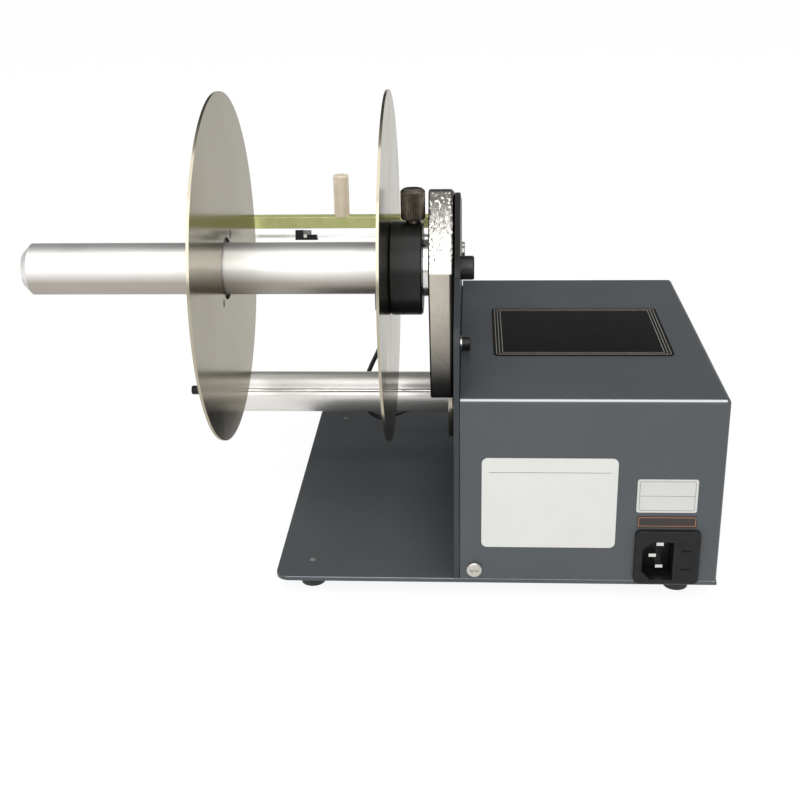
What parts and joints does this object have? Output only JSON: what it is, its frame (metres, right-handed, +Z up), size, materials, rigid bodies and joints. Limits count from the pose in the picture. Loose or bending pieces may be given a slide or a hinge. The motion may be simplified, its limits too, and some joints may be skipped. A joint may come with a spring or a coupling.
{
  "type": "benchtop label dispenser",
  "caption": "Benchtop label dispenser with a roll spindle and two round guide discs, a peel plate, a take-up spindle and a dark blue drive box.",
  "frame": {"origin": "on the bench under the middle of the machine, at the bottom of the rubber feet", "axes": "+X from the free end of the reel spindle to the drive box, +Y from the back with the mains inlet to the peel edge, +Z up"},
  "size_m": [0.3984, 0.275, 0.2745],
  "materials": {
    "blue_paint": "satin",
    "cover_paint": "satin",
    "black_rubber": "matt",
    "zinc_screw": "satin",
    "bright_steel": "polished",
    "cast_bright": "hammered and polished",
    "black_oxide": "satin",
    "satin_aluminium": "bead blasted",
    "brushed_sheet": "brushed",
    "black_anodised": "satin anodised",
    "bronze_black": "satin",
    "yellow_zinc": "passivated",
    "champagne": "anodised",
    "stainless": "brushed",
    "black_plastic": "matt",
    "gloss_black": "gloss",
    "grey_plastic": "matt",
    "felt": "matt",
    "cable_black": "satin",
    "steel": "satin",
    "cast_grey": "cast",
    "belt_rubber": "matt",
    "board_green": "satin",
    "copper_coil": "varnished"
  },
  "bodies": {
    "frame": {"base_plate": "blue_paint", "rubber_feet": "black_rubber", "foot_screws": "zinc_screw", "base_screws": "zinc_screw", "side_plate": "cover_paint", "cover": "cover_paint", "cover_screws": "zinc_screw", "inlet_body": "black_plastic", "inlet_pins": "bright_steel", "reel_arm": "cast_bright", "arm_washer": "bright_steel", "arm_bolt": "black_oxide", "spindle_bolt": "black_oxide", "reel_axle": "bright_steel", "brake_washer": "felt", "peel_plate": "stainless", "peel_screws": "zinc_screw", "sensor_bracket": "stainless", "sensor_body": "grey_plastic", "sensor_screws": "zinc_screw", "sensor_cable": "cable_black", "cable_grommet": "black_rubber", "bearing_housing": "cast_grey", "take_up_bearings": "steel", "drive_belt": "belt_rubber", "gear_motor": "steel", "motor_bracket": "steel", "drive_screws": "zinc_screw", "transformer_core": "steel", "transformer_coil": "copper_coil", "board_posts": "grey_plastic", "circuit_board": "board_green", "board_parts": "black_plastic", "switch_body": "black_plastic", "potentiometer": "steel"},
    "reel": {"reel_spindle": "satin_aluminium", "reel_bearings": "steel"},
    "inner_flange": {"inner_hub": "black_anodised", "inner_disc": "brushed_sheet", "inner_disc_screws": "black_oxide"},
    "inner_knob": {"inner_thumbscrew": "bronze_black"},
    "outer_flange": {"outer_hub": "black_anodised", "outer_disc": "brushed_sheet", "outer_disc_screws": "black_oxide"},
    "outer_knob": {"outer_thumbscrew": "bronze_black"},
    "bar": {"press_bar": "yellow_zinc", "handle_pin": "champagne"},
    "guide": {"label_guide": "black_plastic", "guide_screw": "zinc_screw"},
    "take_up": {"take_up_spindle": "satin_aluminium", "take_up_flange": "brushed_sheet", "take_up_shaft": "steel", "shaft_pulley": "satin_aluminium"},
    "clip": {"wire_clip": "bright_steel", "clip_knob": "black_plastic"},
    "motor_drive": {"motor_pulley": "satin_aluminium", "motor_shaft": "steel"},
    "drawer": {"fuse_drawer": "black_plastic"},
    "rocker": {"switch_rocker": "gloss_black"},
    "dial": {"speed_knob": "black_plastic"}
  },
  "joints": [
    {"name": "reel_spin", "type": "hinge", "parent": "frame", "child": "reel", "pos_m": [-0.04825, -0.0375, 0.1745], "axis": [1, 0, 0], "continuous": true},
    {"name": "inner_flange_slide", "type": "slide", "parent": "reel", "child": "inner_flange", "axis": [1, 0, 0], "range_m": [-0.04, 0]},
    {"name": "inner_knob_back_out", "type": "slide", "parent": "inner_flange", "child": "inner_knob", "axis": [0, 0, 1], "range_m": [0, 0.004]},
    {"name": "outer_flange_slide", "type": "slide", "parent": "reel", "child": "outer_flange", "axis": [1, 0, 0], "range_m": [-0.09, 0.045]},
    {"name": "outer_knob_back_out", "type": "slide", "parent": "outer_flange", "child": "outer_knob", "axis": [0, -0.309, 0.9511], "range_m": [0, 0.004]},
    {"name": "press_bar_lift", "type": "hinge", "parent": "frame", "child": "bar", "pos_m": [-0.03325, 0.0755, 0.17365], "axis": [-1, 0, 0], "range_deg": [0, 80]},
    {"name": "label_guide_slide", "type": "slide", "parent": "frame", "child": "guide", "axis": [1, 0, 0], "range_m": [-0.05, 0.03]},
    {"name": "take_up_spin", "type": "hinge", "parent": "frame", "child": "take_up", "pos_m": [0.00175, 0.0475, 0.0635], "axis": [1, 0, 0], "continuous": true},
    {"name": "clip_slide", "type": "slide", "parent": "take_up", "child": "clip", "axis": [1, 0, 0], "range_m": [-0.12, 0]},
    {"name": "motor_spin", "type": "hinge", "parent": "frame", "child": "motor_drive", "pos_m": [0.09025, -0.0205, 0.0635], "axis": [1, 0, 0], "continuous": true},
    {"name": "fuse_drawer_slide", "type": "slide", "parent": "frame", "child": "drawer", "axis": [0, -1, 0], "range_m": [0, 0.016]},
    {"name": "rocker_tilt", "type": "hinge", "parent": "frame", "child": "rocker", "pos_m": [0.16725, 0.1085, 0.0435], "axis": [1, 0, 0], "range_deg": [-8, 8]},
    {"name": "speed_turn", "type": "hinge", "parent": "frame", "child": "dial", "pos_m": [0.11525, 0.1125, 0.0875], "axis": [0, 1, 0], "range_deg": [-150, 150]}
  ],
  "couplings": [
    {"joint": "motor_spin", "follows": "take_up_spin", "ratio": 1.9965}
  ]
}
